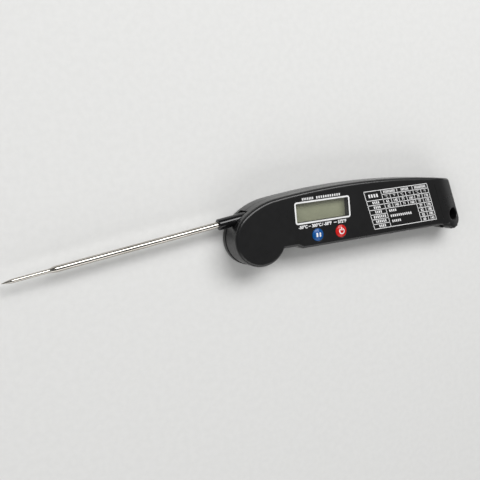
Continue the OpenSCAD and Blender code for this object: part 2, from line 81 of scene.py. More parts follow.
# inside the handle, and its slot for the folded tip
WALL, FACE_WALL = 1.8, 2.0
TIP_SLOT_END, TIP_SLOT_W = 133.2, 3.5
SCREWS = [(21.6, -2.8), (62.5, 17.6), (70.0, -4.6), (112.5, 10.5)]
SCREW_MOUTH_R, SCREW_BORE_R, SCREW_POST_R = 2.2, 1.15, 2.6

# the battery door: its radii, its three lugs, the turn in degrees that opens it, the room for
# the cell behind it, and the marks beside it
DOOR_C, DOOR_R, DOOR_HUB_R, DOOR_SUNK = (91.0, 6.4), 12.3, 10.5, 0.15
LUG_R, LUG_HALF, LUG_LOW, LUG_HIGH, DOOR_TURN = 11.9, 2.1, 2.1, 2.9, 40
CELL_BAY_R, CELL_RING_R = 10.6, 13.6
MARK_AT, MARK_DEPTH = 14.2, 0.35

# the probe: its angle at rest and its distance from the hinge axis, then its radii, and its
# lengths along its own axis from the point nearest the hinge
REST_ANGLE, PROBE_OFFSET = 186.3, 11.95
COLLAR_R, COLLAR_END = 3.02, 19.6
TUBE_R, TUBE_BORE_R, TIP_R, TIP_BORE_R = 1.6, 1.15, 1.025, 0.725
TAPER_START, TAPER_END, TIP_END = 106.0, 110.0, 132.3

# the display window and its printed border
lens_lo, lens_hi = mm_box("display_lens")
border_lo, border_hi = mm_box("display_border")
LCD_C = ((border_lo[0] + border_hi[0]) / 2, (border_lo[1] + border_hi[1]) / 2)
BORDER_W = 0.85
WINDOW_W = border_hi[0] - border_lo[0] - 2 * BORDER_W
WINDOW_H = border_hi[1] - border_lo[1] - 2 * BORDER_W
WINDOW_R = 0.6

# the buttons: two domed caps on the face and a flat one on the back
hold_lo, hold_hi = mm_box("hold_button")
power_lo, power_hi = mm_box("power_button")
unit_lo, unit_hi = mm_box("unit_button")
HOLD_C = ((hold_lo[0] + hold_hi[0]) / 2, (hold_lo[1] + hold_hi[1]) / 2)
POWER_C = ((power_lo[0] + power_hi[0]) / 2, (power_lo[1] + power_hi[1]) / 2)
UNIT_C = ((unit_lo[0] + unit_hi[0]) / 2, (unit_lo[1] + unit_hi[1]) / 2)
FLANGE = 0.8
BUTTON_R = (hold_hi[0] - hold_lo[0]) / 2 - FLANGE
DOME = hold_hi[2] - FACE_Z
CAP_TOP = FACE_Z + DOME
DOME_R = (BUTTON_R**2 + DOME**2) / (2 * DOME)
UNIT_BORE_R, UNIT_POST_R = 2.12, 3.4

# how far the white ink stands above what it is printed on
INK = 0.03


# ---- plane geometry

def polar(r, degrees, centre=(0, 0)):
    a = math.radians(degrees)
    return (centre[0] + r * math.cos(a), centre[1] + r * math.sin(a))


def unit(v):
    n = math.hypot(v[0], v[1])
    return (v[0] / n, v[1] / n)


def arc(c, r, a0, a1, n):
    return [polar(r, a0 + (a1 - a0) * i / n, c) for i in range(n + 1)]


def between(a, b, f):
    return (a[0] + (b[0] - a[0]) * f, a[1] + (b[1] - a[1]) * f)


def rounded_corner(a, p, b, r, n):
    """Points that round the corner at p between a and b to radius r."""
    u, v = unit((a[0] - p[0], a[1] - p[1])), unit((b[0] - p[0], b[1] - p[1]))
    half = math.acos(max(-1, min(1, u[0] * v[0] + u[1] * v[1]))) / 2
    m = unit((u[0] + v[0], u[1] + v[1]))
    c = (p[0] + m[0] * r / math.sin(half), p[1] + m[1] * r / math.sin(half))
    t = r / math.tan(half)
    a0 = math.atan2(p[1] + u[1] * t - c[1], p[0] + u[0] * t - c[0])
    a1 = math.atan2(p[1] + v[1] * t - c[1], p[0] + v[0] * t - c[0])
    turn = (a1 - a0 + math.pi) % (2 * math.pi) - math.pi
    return arc(c, r, math.degrees(a0), math.degrees(a0 + turn), n)


def arch_y(x):
    return TOP_Y - TOP_R + math.sqrt(TOP_R**2 - (x - TOP_X) ** 2)


def on_arch(p, d, t):
    """Where the line p + t d meets the arched top edge, starting from a guess of t."""
    for _ in range(12):
        x, y = p[0] + t * d[0], p[1] + t * d[1]
        slope = -(x - TOP_X) / TOP_R
        t -= (y - arch_y(x)) / (d[1] - slope * d[0])
    return (p[0] + t * d[0], p[1] + t * d[1])


def shoulder():
    """Centre, top angle and head angle of the arc that joins the arched edge to the round head."""
    arch_c = (TOP_X, TOP_Y - TOP_R)
    reach, far = SHOULDER_R - HEAD_R, math.hypot(*arch_c)
    turn = math.acos((reach**2 + far**2 - (TOP_R - SHOULDER_R) ** 2) / (2 * reach * far))
    a = math.degrees(math.atan2(arch_c[1], arch_c[0]) + turn)
    c = polar(reach, a)
    top = math.degrees(math.atan2(c[1] - arch_c[1], c[0] - arch_c[0]))
    return c, top, a + 180


def tail_points():
    """The round chin and tail, then the leaning end up to the corner of the arched top edge."""
    gap = (TAIL_C[0] - CHIN_C[0], TAIL_C[1] - CHIN_C[1])
    lean_in = math.acos((CHIN_R - TAIL_R) / math.hypot(*gap))
    tangent = math.degrees(math.atan2(gap[1], gap[0]) - lean_in)
    foot = polar(TAIL_R, LEAN, TAIL_C)
    top = on_arch(foot, polar(1, LEAN + 90), 22)
    behind = (top[0] - 6, arch_y(top[0] - 6))
    pts = arc(CHIN_C, CHIN_R, -163, tangent, 14)
    pts += arc(TAIL_C, TAIL_R, tangent, LEAN, 30)
    pts += [between(foot, top, i / 10 * 0.86) for i in range(1, 10)]
    return pts + rounded_corner(foot, top, behind, 2.6, 9), top


def handle_outline():
    """The handle's outline seen from the front, counterclockwise from the notch."""
    neck_angle = -math.degrees(math.asin(-NOTCH_Y / HEAD_R))
    neck, near_neck = polar(HEAD_R, neck_angle), polar(HEAD_R, neck_angle - 8)
    notch, ramp = (NOTCH_END, NOTCH_Y), (RAMP_END, BOTTOM_Y)
    pts = rounded_corner(near_neck, neck, notch, 0.8, 6)
    pts += rounded_corner(neck, notch, ramp, 1.2, 4)
    pts += rounded_corner(notch, ramp, (60, BOTTOM_Y), 1.2, 4)
    chin_x, n = CHIN_C[0] - CHIN_R, 24
    pts += [(RAMP_END + 2 + (chin_x - 3 - RAMP_END) * i / n, BOTTOM_Y) for i in range(n + 1)]
    pts += rounded_corner((100, BOTTOM_Y), (chin_x + 0.1, BOTTOM_Y), (chin_x + 0.5, -11), 0.5, 5)
    tail, tail_top = tail_points()
    pts += tail
    shoulder_c, top, head_leave = shoulder()
    x0, x1, n = tail_top[0] - 3.2, polar(SHOULDER_R, top, shoulder_c)[0] + 0.8, 70
    arch = [x0 + (x1 - x0) * i / n for i in range(n + 1)]
    pts += [(x, arch_y(x)) for x in arch]
    pts += arc(shoulder_c, SHOULDER_R, top, head_leave, 26)
    pts += arc((0, 0), HEAD_R, head_leave + 1.5, 360 + neck_angle - 4, 106)
    return pts


def clean(pts, least=0.02):
    """Drops points closer together than least."""
    out = []
    for p in pts:
        if not out or math.hypot(p[0] - out[-1][0], p[1] - out[-1][1]) > least:
            out.append(p)
    if math.hypot(out[0][0] - out[-1][0], out[0][1] - out[-1][1]) <= least:
        out.pop()
    return out


def inset(pts, d):
    """The closed outline moved inwards by d."""
    out, n = [], len(pts)
    for i, p in enumerate(pts):
        a, b = pts[i - 1], pts[(i + 1) % n]
        e0, e1 = unit((p[0] - a[0], p[1] - a[1])), unit((b[0] - p[0], b[1] - p[1]))
        n0, n1 = (-e0[1], e0[0]), (-e1[1], e1[0])
        k = d / (1 + n0[0] * n1[0] + n0[1] * n1[1])
        out.append((p[0] + (n0[0] + n1[0]) * k, p[1] + (n0[1] + n1[1]) * k))
    return out


def rounded_rect(cx, cy, w, h, r, n=6):
    pts = []
    for sx, sy, a in ((1, 1, 0), (-1, 1, 90), (-1, -1, 180), (1, -1, 270)):
        pts += arc((cx + sx * (w / 2 - r), cy + sy * (h / 2 - r)), r, a, a + 90, n)
    return pts


def slope_s(x, y):
    """How far a point lies beyond the groove, square to it."""
    a = math.radians(LEAN)
    return (x - SLOPE_X) * math.cos(a) + y * math.sin(a)


def face_z(x, y):
    """Height of the display face, which curves down beyond the groove at the tail."""
    s = slope_s(x, y)
    if s <= 0:
        return FACE_Z
    top = math.sqrt(SLOPE_R**2 - SLOPE_SHIFT**2)
    return FACE_Z - top + math.sqrt(SLOPE_R**2 - (s + SLOPE_SHIFT) ** 2)


# ---- mesh making

def mesh_from(name, verts, faces):
    me = bpy.data.meshes.new(name)
    me.from_pydata([(v[0] * MM, v[1] * MM, v[2] * MM) for v in verts], [], faces)
    me.validate()
    ob = bpy.data.objects.new(name, me)
    bpy.context.scene.collection.objects.link(ob)
    return ob


def loft(name, rings):
    """A closed solid through rings of equal length, each a list of (x, y, z), from the lowest up."""
    n = len(rings[0])
    verts = [p for ring in rings for p in ring]
    faces = [tuple(range(n - 1, -1, -1))]
    for k in range(len(rings) - 1):
        for i in range(n):
            j = (i + 1) % n
            faces.append((k * n + i, k * n + j, (k + 1) * n + j, (k + 1) * n + i))
    faces.append(tuple((len(rings) - 1) * n + i for i in range(n)))
    return mesh_from(name, verts, faces)


def turn_outward(ob, merge=None):
    """Points every face outwards, after merging vertices closer than merge, in metres."""
    bm = bmesh.new()
    bm.from_mesh(ob.data)
    if merge:
        bmesh.ops.remove_doubles(bm, verts=bm.verts, dist=merge)
    bmesh.ops.recalc_face_normals(bm, faces=bm.faces)
    bm.to_mesh(ob.data)
    bm.free()
    return ob


def at_z(pts, z):
    return [(p[0], p[1], z) for p in pts]


def prism(name, pts, z0, z1):
    return loft(name, [at_z(pts, z0), at_z(pts, z1)])


def lathe(name, profile, segs=96, centre=(0, 0), turn=None):
    """Turns a closed profile of (radius, height) about Z, then moves it by the matrix turn."""
    verts, faces, rows = [], [], []
    for r, z in profile:
        if r < 1e-6:
            rows.append([len(verts)])
            verts.append((centre[0], centre[1], z))
        else:
            rows.append(list(range(len(verts), len(verts) + segs)))
            for i in range(segs):
                a = 2 * math.pi * i / segs
                verts.append((centre[0] + r * math.cos(a), centre[1] + r * math.sin(a), z))
    m = len(rows)
    for k in range(m):
        a, b = rows[k], rows[(k + 1) % m]
        if len(a) == 1 and len(b) == 1:
            continue
        for i in range(segs):
            j = (i + 1) % segs
            if len(a) == 1:
                faces.append((a[0], b[j], b[i]))
            elif len(b) == 1:
                faces.append((a[i], a[j], b[0]))
            else:
                faces.append((a[i], a[j], b[j], b[i]))
    if turn is not None:
        verts = [tuple(turn @ Vector(v)) for v in verts]
    return turn_outward(mesh_from(name, verts, faces))


def round_steps(r, n=8):
    """(inset, drop) pairs of a quarter-round edge, from the wall to the flat."""
    out = []
    for i in range(n + 1):
        a = math.pi / 2 * i / n
        out.append((r * (1 - math.cos(a)), r * (1 - math.sin(a))))
    return out


def apply_modifiers(ob):
    dg = bpy.context.evaluated_depsgraph_get()
    me = bpy.data.meshes.new_from_object(ob.evaluated_get(dg))
    ob.modifiers.clear()
    ob.data = me
    return ob


def cut(ob, *cutters, mode="DIFFERENCE"):
    """Cuts the solids out of ob, or joins them to it with mode="UNION", and drops them."""
    for c in cutters:
        mod = ob.modifiers.new("cut", "BOOLEAN")
        mod.operation, mod.object, mod.solver = mode, c, "EXACT"
    apply_modifiers(ob)
    for c in cutters:
        bpy.data.objects.remove(c)
    return ob


def tidy(ob, sharp=28):
    """Merges stray doubles and marks hard edges, so that rounded edges shade smoothly."""
    bm = bmesh.new()
    bm.from_mesh(ob.data)
    bmesh.ops.remove_doubles(bm, verts=bm.verts, dist=2e-7)
    bmesh.ops.dissolve_degenerate(bm, edges=bm.edges, dist=1e-7)
    bm.to_mesh(ob.data)
    bm.free()
    ob.data.shade_smooth()
    ob.data.set_sharp_from_angle(angle=math.radians(sharp))
    # large flat faces keep their own normal beside the rounded edges
    mod = ob.modifiers.new("flat_first", "WEIGHTED_NORMAL")
    mod.mode, mod.weight, mod.keep_sharp = "FACE_AREA", 100, True
    return apply_modifiers(ob)


def place(ob, body, material, replaces=()):
    ob.data.materials.clear()
    ob.data.materials.append(material)
    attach(ob, body)
    if replaces:
        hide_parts(*replaces)
    return ob


# ---- materials

def new_material(name):
    m = bpy.data.materials.new(name)
    m.use_nodes = True
    nt = m.node_tree
    return m, nt, nt.nodes["Principled BSDF"]


def add(nt, kind, **values):
    node = nt.nodes.new(kind)
    for key, value in values.items():
        if key in node.inputs:
            node.inputs[key].default_value = value
        else:
            setattr(node, key, value)
    return node


def noise_of(nt, scale, detail=2.0, rough=0.5, vector=None):
    if vector is None:
        vector = add(nt, "ShaderNodeTexCoord").outputs["Object"]
    n = add(nt, "ShaderNodeTexNoise", Scale=scale, Detail=detail, Roughness=rough)
    nt.links.new(vector, n.inputs["Vector"])
    return n.outputs["Fac"]


def remap(nt, value, lo, hi, frm=(0.3, 0.7)):
    r = add(nt, "ShaderNodeMapRange")
    r.inputs["From Min"].default_value, r.inputs["From Max"].default_value = frm
    r.inputs["To Min"].default_value, r.inputs["To Max"].default_value = lo, hi
    nt.links.new(value, r.inputs["Value"])
    return r.outputs["Result"]


def blend_colour(nt, fac, a, b):
    ramp = add(nt, "ShaderNodeValToRGB")
    for stop, position, colour in zip(ramp.color_ramp.elements, (0.35, 0.65), (a, b)):
        stop.position, stop.color = position, (*colour, 1)
    nt.links.new(fac, ramp.inputs["Fac"])
    return ramp.outputs["Color"]


def bump(nt, shader, height, strength, distance):
    b = add(nt, "ShaderNodeBump", Strength=strength, Distance=distance)
    nt.links.new(height, b.inputs["Height"])
    nt.links.new(b.outputs["Normal"], shader.inputs["Normal"])
    return b


def plastic(name, dark, light, rough, grain=9000, depth=4e-6, strength=0.35, ior=1.56, patch=60):
    """Moulded plastic: a fine spark-eroded grain, and handling that varies its sheen."""
    m, nt, s = new_material(name)
    nt.links.new(blend_colour(nt, noise_of(nt, patch * 5, 3), dark, light), s.inputs["Base Color"])
    nt.links.new(remap(nt, noise_of(nt, patch, 4, 0.6), rough[0], rough[1]), s.inputs["Roughness"])
    bump(nt, s, noise_of(nt, grain, 2, 0.6), strength, depth)
    s.inputs["IOR"].default_value = ior
    return m


def steel(name, dark, light, rough, axis=(0, 0, 1), lines=14000, strength=0.12, edge=(1, 1, 1)):
    """Ground stainless steel: fine marks across the axis, warm where it was heated and handled."""
    m, nt, s = new_material(name)
    coord = add(nt, "ShaderNodeTexCoord").outputs["Object"]
    dot = add(nt, "ShaderNodeVectorMath", operation="DOT_PRODUCT")
    nt.links.new(coord, dot.inputs[0])
    dot.inputs[1].default_value = axis
    along = add(nt, "ShaderNodeCombineXYZ")
    nt.links.new(dot.outputs["Value"], along.inputs["X"])
    grain = noise_of(nt, lines, 3, 0.6, along.outputs["Vector"])
    nt.links.new(blend_colour(nt, noise_of(nt, 90, 3), dark, light), s.inputs["Base Color"])
    nt.links.new(remap(nt, noise_of(nt, 400, 4, 0.6), rough[0], rough[1]), s.inputs["Roughness"])
    bump(nt, s, grain, strength, 3e-6)
    s.inputs["Metallic"].default_value = 1.0
    s.inputs["Specular Tint"].default_value = edge + (1,)
    return m


housing = plastic("housing_plastic", (0.0085, 0.0085, 0.0087), (0.01, 0.01, 0.0103), (0.26, 0.32))
drum_mat = plastic(
    "drum_plastic", (0.0095, 0.0095, 0.0098), (0.0115, 0.0115, 0.0118), (0.16, 0.22), grain=7000
)
collar_mat = plastic(
    "collar_plastic", (0.004, 0.004, 0.0045), (0.006, 0.006, 0.0065), (0.06, 0.12), 2500, 2e-6, 0.15
)
inner_mat = plastic("inner_plastic", (0.02, 0.02, 0.022), (0.03, 0.03, 0.032), (0.4, 0.5))
button_finish = {"rough": (0.2, 0.28), "grain": 3000, "depth": 2e-6, "strength": 0.15, "ior": 1.42}
blue_mat = plastic("blue_plastic", (0.004, 0.068, 0.235), (0.005, 0.08, 0.28), **button_finish)
red_mat = plastic("red_plastic", (0.48, 0.012, 0.011), (0.56, 0.016, 0.014), **button_finish)
grey_mat = plastic("grey_plastic", (0.05, 0.05, 0.054), (0.065, 0.065, 0.07), (0.4, 0.5))
ink_mat = plastic("white_ink", (0.70, 0.70, 0.70), (0.82, 0.82, 0.82), (0.45, 0.6), 12000, 3e-6, 0.3)
rubber_mat = plastic("rubber", (0.012, 0.012, 0.013), (0.02, 0.02, 0.021), (0.6, 0.75), 5000, 6e-6, 0.5)
board_mat = plastic("solder_mask", (0.008, 0.10, 0.035), (0.012, 0.15, 0.05), (0.25, 0.4), 1500, 4e-6, 0.3)
ceramic_mat = plastic("ceramic", (0.4, 0.32, 0.2), (0.5, 0.4, 0.26), (0.35, 0.5), 6000, 3e-6, 0.3)
bead_mat = plastic("epoxy_bead", (0.02, 0.014, 0.011), (0.035, 0.025, 0.02), (0.15, 0.3), 3000, 3e-6, 0.3)
lead_mat = plastic("lead_insulation", (0.38, 0.02, 0.015), (0.5, 0.035, 0.025), (0.4, 0.5), 4000, 3e-6, 0.3)
washer_mat = plastic("washer_plastic", (0.68, 0.67, 0.62), (0.78, 0.77, 0.72), (0.4, 0.5), 5000, 3e-6, 0.3)
probe_dir = polar(1, REST_ANGLE) + (0,)
probe_mat = steel(
    "probe_steel", (0.55, 0.52, 0.47), (0.68, 0.65, 0.60), (0.12, 0.2), probe_dir,
    strength=0.06, edge=(0.3, 0.28, 0.26),
)
screw_mat = steel("screw_steel", (0.42, 0.42, 0.43), (0.56, 0.56, 0.57), (0.25, 0.4))
cell_mat = steel("cell_steel", (0.55, 0.55, 0.55), (0.68, 0.68, 0.68), (0.22, 0.34), (1, 0, 0), 6000)
brass_mat = steel("contact_brass", (0.60, 0.45, 0.2), (0.75, 0.58, 0.28), (0.25, 0.38), (1, 0, 0), 6000)
foil_mat = steel("reflector_foil", (0.7, 0.7, 0.7), (0.82, 0.82, 0.82), (0.3, 0.45), (0, 1, 0), 4000)


def lcd_material():
    """Blank display glass over its grey-green reflector, a little uneven."""
    m, nt, s = new_material("lcd_glass")
    patches = blend_colour(nt, noise_of(nt, 140, 4, 0.6), (0.37, 0.386, 0.261), (0.41, 0.426, 0.291))
    nt.links.new(patches, s.inputs["Base Color"])
    nt.links.new(remap(nt, noise_of(nt, 300, 3), 0.28, 0.4), s.inputs["Roughness"])
    bump(nt, s, noise_of(nt, 15000, 1), 0.15, 2e-6)
    return m


def lens_material():
    """The clear window, which only adds a faint sheen over the display."""
    m, nt, s = new_material("lens_clear")
    haze = blend_colour(nt, noise_of(nt, 200, 2), (0.10, 0.10, 0.105), (0.13, 0.13, 0.135))
    nt.links.new(haze, s.inputs["Base Color"])
    nt.links.new(remap(nt, noise_of(nt, 500, 3), 0.03, 0.08), s.inputs["Roughness"])
    bump(nt, s, noise_of(nt, 60, 2), 0.1, 3e-5)
    s.inputs["Alpha"].default_value = 0.12
    return m


lcd_mat, lens_mat = lcd_material(), lens_material()

# ---- the two shells of the handle

OUTLINE = clean(handle_outline())


def wall_at(d, z):
    """The outline inset by d, at height z."""
    return at_z(inset(OUTLINE, d) if d else OUTLINE, z)


def wall_under_face(d, drop):
    """The outline inset by d, drop below the curved display face."""
    return [(x, y, face_z(x, y) - drop) for x, y in (inset(OUTLINE, d) if d else OUTLINE)]


def cap_faces(bm):
    """The display face's pieces: the faces that look up and have more than four corners."""
    return [f for f in bm.faces if len(f.verts) > 4 and f.normal.z > 0.5]


def slice_cap(ob, step=0.5, first=-0.5, last=18.0):
    """Splits the display face along the curved slope, then sets every point on it to its height."""
    bm = bmesh.new()
    bm.from_mesh(ob.data)
    across = Vector(polar(1, LEAN) + (0,))
    for i in range(round((last - first) / step)):
        faces = cap_faces(bm)
        edges = {e for f in faces for e in f.edges}
        verts = {v for f in faces for v in f.verts}
        at = (Vector((SLOPE_X, 0, 0)) + across * (first + i * step)) * MM
        geom = list(verts) + list(edges) + faces
        bmesh.ops.bisect_plane(bm, geom=geom, plane_co=at, plane_no=across, dist=1e-8)
    lowest = (FACE_Z - 6.5) * MM
    for f in cap_faces(bm):
        if all(v.co.z > lowest for v in f.verts):
            for v in f.verts:
                v.co.z = face_z(v.co.x / MM, v.co.y / MM) * MM
    bm.to_mesh(ob.data)
    bm.free()


def mouth_steps(r, n=4):
    """(growth, depth) pairs of a rounded mouth, whose last two stand clear of the face."""
    out = round_steps(r, n)[:-1]
    grow, drop = out[-1]
    clear, far = 0.04, 0.5
    wide = r + (r - grow) * clear / drop
    return out + [(wide, -clear), (wide, -far)]


def front_mouth(ring_at, z_low, z_face, r=0.2, n=4):
    """Rings of a cutter whose mouth is rounded over by r where it leaves the front.
    ring_at(grow) gives the ring's points, and z_face(x, y) the face's height."""
    rings = [at_z(ring_at(0), z_low)]
    for grow, drop in mouth_steps(r, n):
        rings.append([(x, y, z_face(x, y) - drop) for x, y in ring_at(grow)])
    return rings


def back_mouth(ring_at, z_high, r=0.2, n=4):
    """The same for a cutter that leaves the back, which is flat at height 0."""
    rings = [at_z(ring_at(grow), drop) for grow, drop in reversed(mouth_steps(r, n))]
    return rings + [at_z(ring_at(0), z_high)]


def circle(c, r, n=72):
    return arc(c, r, 0, 360, n)[:-1]


def circle_at(c, r, n=72):
    return lambda grow: circle(c, r + grow, n)


def rect_at(c, w, h, r):
    return lambda grow: rounded_rect(c[0], c[1], w + 2 * grow, h + 2 * grow, r + grow)


def flat_face(x, y):
    return FACE_Z


def hinge_cutter(z0, z1):
    """The drum's chamber, open above the collar as far as the slot's end."""
    chamber = prism("cutter", circle((0, 0), CHAMBER_R, 180), z0, z1)
    inner, outer, turned, last = CHAMBER_R - 2, CHAMBER_R + 4, SLOT_END + 6, 140
    pts = [polar(inner, SLOT_END), polar(outer, SLOT_END)]
    pts += arc((0, 0), outer, turned, last, 8) + arc((0, 0), inner, last, turned, 8)
    return cut(chamber, prism("relief", pts, z0, z1), mode="UNION")


def cavity_cutter(z0, z1, d):
    """The room for the electronics, between the hinge chamber and the slope."""
    reach, middle = CHAMBER_R + 1.6, 3
    pts = [p for p in inset(OUTLINE, d) if math.hypot(*p) > reach and p[0] > 8 and slope_s(*p) < -3]
    low = [p for p in pts if p[1] < middle]
    high = [p for p in pts if p[1] >= middle]
    low.sort(key=lambda p: p[0])
    high.sort(key=lambda p: -p[0])
    a_high, a_low = (math.degrees(math.atan2(p[1], p[0])) for p in (high[-1], low[0]))
    back = arc((0, 0), reach, a_high - 1.5, a_low + 1.5, 24)
    return prism("cutter", clean(low + high + back), z0, z1)


def tip_slot():
    """The slot through the chin, which takes the folded tip."""
    x0, y0, y1, half = 100, -20, BOTTOM_Y - 0.2, TIP_SLOT_W / 2
    pts = [(x0, y0), (TIP_SLOT_END, y0), (TIP_SLOT_END, y1), (x0, y1)]
    return prism("cutter", pts, SPLIT_Z - half, SPLIT_Z + half)


def groove_cutter():
    """A rod with ball ends, which presses the groove in where the slope starts."""
    r, steps = GROOVE_R, [math.pi / 2 * i / 8 for i in range(9)]
    prof = [(r * math.sin(t), -r * math.cos(t)) for t in steps]
    prof += [(r * math.cos(t), GROOVE_LENGTH + r * math.sin(t)) for t in steps]
    along = Vector(polar(1, LEAN + 90) + (0,))
    start = Vector((SLOPE_X, 0, FACE_Z + 0.05)) - along * GROOVE_BELOW
    lay = Matrix.Rotation(math.radians(LEAN), 4, "Z") @ Matrix.Rotation(-math.pi / 2, 4, "X")
    return lathe("groove", prof, 24, turn=Matrix.Translation(start) @ lay)


def button_bore(name, c):
    return loft(name, front_mouth(circle_at(c, BUTTON_R + 0.12), 10, flat_face, 0.25))


def pin_socket(z0, z1):
    return prism("pin_socket", circle((0, 0), PIN_R + 0.01, 96), z0, z1)


def make_front_shell():
    rings = [wall_at(SEAM, SPLIT_Z + 0.01), wall_at(0, SPLIT_Z + SEAM)]
    rings += [wall_under_face(d, drop) for d, drop in round_steps(FRONT_ROUND, 9)]
    rings.append(wall_under_face(FRONT_ROUND + 0.12, 0))
    ob = loft("front_shell_moulding", rings)
    slice_cap(ob)
    cavity = cavity_cutter(SPLIT_Z - 1, FACE_Z - FACE_WALL, WALL)
    skirt_low, window_low, margin = 13.1, 12.5, 2.4
    skirt = rounded_rect(*LCD_C, WINDOW_W + margin, WINDOW_H + margin, 1.2)
    cut(cavity, prism("skirt", skirt, skirt_low, FACE_Z))
    lens_w, lens_h = lens_hi[0] - lens_lo[0] + 0.1, lens_hi[1] - lens_lo[1] + 0.1
    lens_ring = rect_at(LCD_C, lens_w, lens_h, WINDOW_R + 1)
    cut(
        ob,
        cavity,
        hinge_cutter(SPLIT_Z - 1, CHAMBER_HIGH),
        pin_socket(SPLIT_Z - 1, CHAMBER_HIGH + PIN_SOCKET),
        prism("window", rounded_rect(*LCD_C, WINDOW_W, WINDOW_H, WINDOW_R), window_low, FACE_Z + 1),
        loft("lens_seat", front_mouth(lens_ring, lens_lo[2] - 0.02, flat_face, 0.12)),
        button_bore("hold_bore", HOLD_C),
        button_bore("power_bore", POWER_C),
        loft("hang_bore", front_mouth(circle_at(HANG, HANG_R), 5, face_z, 0.8, 6)),
        tip_slot(),
    )
    cut(ob, groove_cutter())
    return tidy(ob)


def turn_marks():
    """Two marks sunk in the back: a dot where the door's pointer is shut, a ring where it opens."""
    shut, opened = polar(MARK_AT, 90, DOOR_C), polar(MARK_AT, 90 - DOOR_TURN, DOOR_C)
    dot = prism("dot", circle(shut, 0.6, 32), -0.5, MARK_DEPTH)
    ring = prism("ring", circle(opened, 0.75, 32), -0.5, MARK_DEPTH)
    return [dot, cut(ring, prism("core", circle(opened, 0.4, 32), -1, 1))]


def cavity_with_posts():
    """The rear shell's room, less the cell's ring, the screw posts and the unit button's post."""
    top = SPLIT_Z - 0.7
    posts = [prism("ring", circle(DOOR_C, CELL_RING_R, 96), 0, SPLIT_Z - 0.9)]
    posts += [prism("post", circle(p, SCREW_POST_R, 40), 0, top) for p in SCREWS]
    posts.append(prism("unit_post", circle(UNIT_C, UNIT_POST_R, 48), 0, 2.6))
    return cut(cavity_cutter(FACE_WALL, SPLIT_Z + 1, WALL), *posts)


def make_rear_shell():
    rings = [wall_at(d, drop) for d, drop in reversed(round_steps(REAR_ROUND, 6))]
    rings += [wall_at(0, SPLIT_Z - SEAM), wall_at(SEAM, SPLIT_Z - 0.01)]
    ob = loft("rear_shell_moulding", rings)
    cutters = [
        hinge_cutter(CHAMBER_LOW, SPLIT_Z + 1),
        pin_socket(CHAMBER_LOW - PIN_SOCKET, SPLIT_Z + 1),
        loft("door_seat", back_mouth(circle_at(DOOR_C, DOOR_R + 0.15, 120), 1.2)),
        prism("cell_bay", circle(DOOR_C, CELL_BAY_R, 96), -1, SPLIT_Z - 0.9),
        loft("hang_bore", back_mouth(circle_at(HANG, HANG_R), SPLIT_Z + 1, 0.4)),
        tip_slot(),
        loft("unit_bore", back_mouth(circle_at(UNIT_C, UNIT_BORE_R, 48), SPLIT_Z - 2)),
    ]
    for p in SCREWS:
        cutters.append(loft("screw_mouth", back_mouth(circle_at(p, SCREW_MOUTH_R, 40), 2.2)))
        cutters.append(prism("screw_bore", circle(p, SCREW_BORE_R, 32), 1, SPLIT_Z + 1))
    cut(ob, cavity_with_posts(), *cutters, *turn_marks())
    return tidy(ob)


def door_lug(at):
    """One lug, centred on the angle at, which locks under the shell."""
    foot_r = DOOR_HUB_R - 0.4
    tip, foot = (math.degrees(math.asin(LUG_HALF / r)) for r in (LUG_R, foot_r))
    pts = arc(DOOR_C, LUG_R, at - tip, at + tip, 6) + arc(DOOR_C, foot_r, at + foot, at - foot, 6)
    return prism("lug", pts, LUG_LOW, LUG_HIGH - 0.02)


def coin_slot():
    """A coin slot with a softened mouth: (growth, height) from outside to its floor."""
    mouth = ((0.7, -0.4), (0.15, DOOR_SUNK), (0.04, DOOR_SUNK + 0.11), (0, 0.45), (0, 0.75))
    return loft("slot", [at_z(rounded_rect(*DOOR_C, 14 + 2 * g, 2 + 2 * g, 0.95 + g), z) for g, z in mouth])


def make_door():
    """The battery door: a rounded disc with a coin slot, an o-ring groove and three lugs."""
    edge, disc_top, groove_low, groove_high, groove_r = 0.3, 1.05, 1.3, 2.0, 9.9
    prof = [(0, DOOR_SUNK), (DOOR_R - edge, DOOR_SUNK)]
    prof += [(DOOR_R - d, DOOR_SUNK + rise) for rise, d in round_steps(edge, 6)[1:]]
    prof += [(DOOR_R, disc_top), (DOOR_HUB_R, disc_top), (DOOR_HUB_R, groove_low), (groove_r, groove_low)]
    prof += [(groove_r, groove_high), (DOOR_HUB_R, groove_high), (DOOR_HUB_R, LUG_HIGH), (0, LUG_HIGH)]
    ob = lathe("battery_door_moulding", prof, 96, centre=DOOR_C)
    cut(ob, *[door_lug(at) for at in (0, 120, 240)], mode="UNION")
    corners = [polar(11.4, 90, DOOR_C), polar(10.1, 94.5, DOOR_C), polar(10.1, 85.5, DOOR_C)]
    return tidy(cut(ob, coin_slot(), prism("pointer", corners, -0.5, DOOR_SUNK + MARK_DEPTH)))


place(make_front_shell(), "body", housing, ["front_shell"])
place(make_rear_shell(), "body", housing, ["rear_shell"])
place(make_door(), "door", housing, ["battery_door"])

# ---- the probe: collar, tube and tip, turned on the probe's own axis

foot = polar(PROBE_OFFSET, REST_ANGLE - 90) + (SPLIT_Z,)
lay_down = Matrix.Rotation(math.radians(REST_ANGLE), 4, "Z") @ Matrix.Rotation(math.pi / 2, 4, "Y")
AXIS = Matrix.Translation(foot) @ lay_down


def make_collar():
    """The glossy sleeve, dished round the tube at its outer end."""
    start, edge, rim, dish, bore = 0.4, 0.2, 0.5, 0.2, TUBE_R - 0.19
    prof = [(bore, start), (COLLAR_R - edge, start), (COLLAR_R, start + edge), (COLLAR_R, COLLAR_END - rim)]
    prof += [(COLLAR_R - d, COLLAR_END - drop) for d, drop in round_steps(rim, 5)[1:]]
    prof += [(TUBE_R + 0.35, COLLAR_END), (TUBE_R + 0.12, COLLAR_END - dish), (bore, COLLAR_END - dish)]
    return tidy(lathe("probe_collar_moulding", prof, 72, turn=AXIS), 35)


